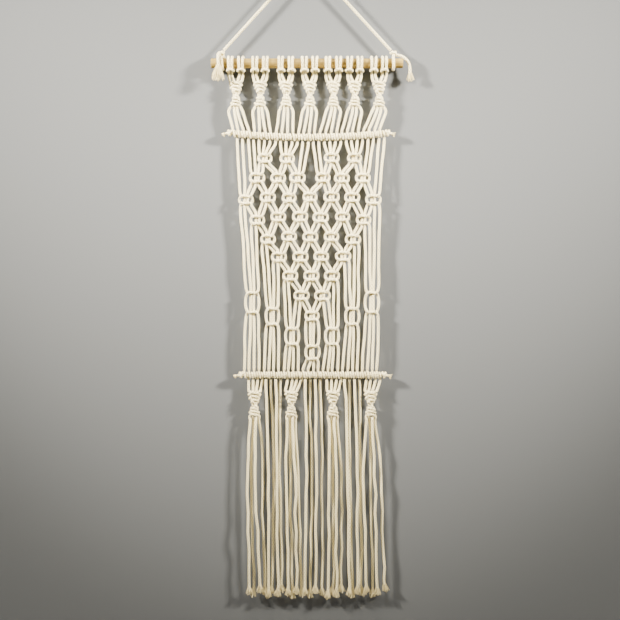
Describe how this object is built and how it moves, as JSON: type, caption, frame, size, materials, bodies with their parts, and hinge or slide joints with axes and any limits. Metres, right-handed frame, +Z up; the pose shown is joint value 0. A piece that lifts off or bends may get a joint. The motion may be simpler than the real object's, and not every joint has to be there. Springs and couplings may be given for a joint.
{
  "type": "macrame wall hanging",
  "caption": "Knotted cotton cord wall hanging on a round wooden dowel, with spiral sinnets, a diamond net of square knots and a long fringe, hung from a tied cord.",
  "frame": {"origin": "nail point: the inside of the hanging cord's bend, where it rests on its nail", "axes": "+Z up, +X to the viewer's right along the dowel, +Y from the viewer towards the wall"},
  "size_m": [0.2674, 0.0233, 0.8437],
  "materials": {
    "cotton_cord": "matt braided cotton",
    "dowel_wood": "plain sanded pine"
  },
  "bodies": {
    "hanger": {"hanger_cord": "cotton_cord", "hanger_tie_left": "cotton_cord", "hanger_tie_right": "cotton_cord", "hanger_tail_left": "cotton_cord", "hanger_tail_right": "cotton_cord"},
    "dowel": {"dowel": "dowel_wood"},
    "header": {"header_group_1": "cotton_cord", "header_group_2": "cotton_cord", "header_group_3": "cotton_cord", "header_group_4": "cotton_cord", "header_group_5": "cotton_cord", "header_group_6": "cotton_cord", "header_group_7": "cotton_cord", "hitch_row_upper": "cotton_cord", "carrier_cord_upper": "cotton_cord"},
    "net": {"diamond_net": "cotton_cord", "drop_knot_1": "cotton_cord", "drop_knot_2": "cotton_cord", "drop_knot_3": "cotton_cord", "drop_knot_4": "cotton_cord", "drop_knot_5": "cotton_cord", "drop_knot_6": "cotton_cord", "drop_knot_7": "cotton_cord", "hitch_row_lower": "cotton_cord", "carrier_cord_lower": "cotton_cord"},
    "fringe_1": {"lower_sinnet_1": "cotton_cord", "fringe_strand_01": "cotton_cord", "fringe_strand_02": "cotton_cord", "fringe_strand_03": "cotton_cord", "fringe_strand_04": "cotton_cord"},
    "fringe_2": {"fringe_strand_05": "cotton_cord", "fringe_strand_06": "cotton_cord", "fringe_strand_07": "cotton_cord", "fringe_strand_08": "cotton_cord"},
    "fringe_3": {"lower_sinnet_3": "cotton_cord", "fringe_strand_09": "cotton_cord", "fringe_strand_10": "cotton_cord", "fringe_strand_11": "cotton_cord", "fringe_strand_12": "cotton_cord"},
    "fringe_4": {"fringe_strand_13": "cotton_cord", "fringe_strand_14": "cotton_cord", "fringe_strand_15": "cotton_cord", "fringe_strand_16": "cotton_cord"},
    "fringe_5": {"lower_sinnet_5": "cotton_cord", "fringe_strand_17": "cotton_cord", "fringe_strand_18": "cotton_cord", "fringe_strand_19": "cotton_cord", "fringe_strand_20": "cotton_cord"},
    "fringe_6": {"fringe_strand_21": "cotton_cord", "fringe_strand_22": "cotton_cord", "fringe_strand_23": "cotton_cord", "fringe_strand_24": "cotton_cord"},
    "fringe_7": {"lower_sinnet_7": "cotton_cord", "fringe_strand_25": "cotton_cord", "fringe_strand_26": "cotton_cord", "fringe_strand_27": "cotton_cord", "fringe_strand_28": "cotton_cord"}
  },
  "joints": [
    {"name": "dowel_turn", "type": "hinge", "parent": "hanger", "child": "dowel", "pos_m": [0, 0, -0.134], "axis": [1, 0, 0], "range_deg": [-45, 45]},
    {"name": "textile_swing", "type": "hinge", "parent": "dowel", "child": "header", "pos_m": [0, 0, -0.134], "axis": [1, 0, 0], "range_deg": [-75, 75]},
    {"name": "upper_fold", "type": "hinge", "parent": "header", "child": "net", "pos_m": [0, 0, -0.2275], "axis": [1, 0, 0], "range_deg": [-90, 90]},
    {"name": "fringe_fold_1", "type": "hinge", "parent": "net", "child": "fringe_1", "pos_m": [0, 0, -0.5496], "axis": [1, 0, 0], "range_deg": [-90, 90]},
    {"name": "fringe_fold_2", "type": "hinge", "parent": "net", "child": "fringe_2", "pos_m": [0, 0, -0.5496], "axis": [1, 0, 0], "range_deg": [-90, 90]},
    {"name": "fringe_fold_3", "type": "hinge", "parent": "net", "child": "fringe_3", "pos_m": [0, 0, -0.5496], "axis": [1, 0, 0], "range_deg": [-90, 90]},
    {"name": "fringe_fold_4", "type": "hinge", "parent": "net", "child": "fringe_4", "pos_m": [0, 0, -0.5496], "axis": [1, 0, 0], "range_deg": [-90, 90]},
    {"name": "fringe_fold_5", "type": "hinge", "parent": "net", "child": "fringe_5", "pos_m": [0, 0, -0.5496], "axis": [1, 0, 0], "range_deg": [-90, 90]},
    {"name": "fringe_fold_6", "type": "hinge", "parent": "net", "child": "fringe_6", "pos_m": [0, 0, -0.5496], "axis": [1, 0, 0], "range_deg": [-90, 90]},
    {"name": "fringe_fold_7", "type": "hinge", "parent": "net", "child": "fringe_7", "pos_m": [0, 0, -0.5496], "axis": [1, 0, 0], "range_deg": [-90, 90]}
  ]
}
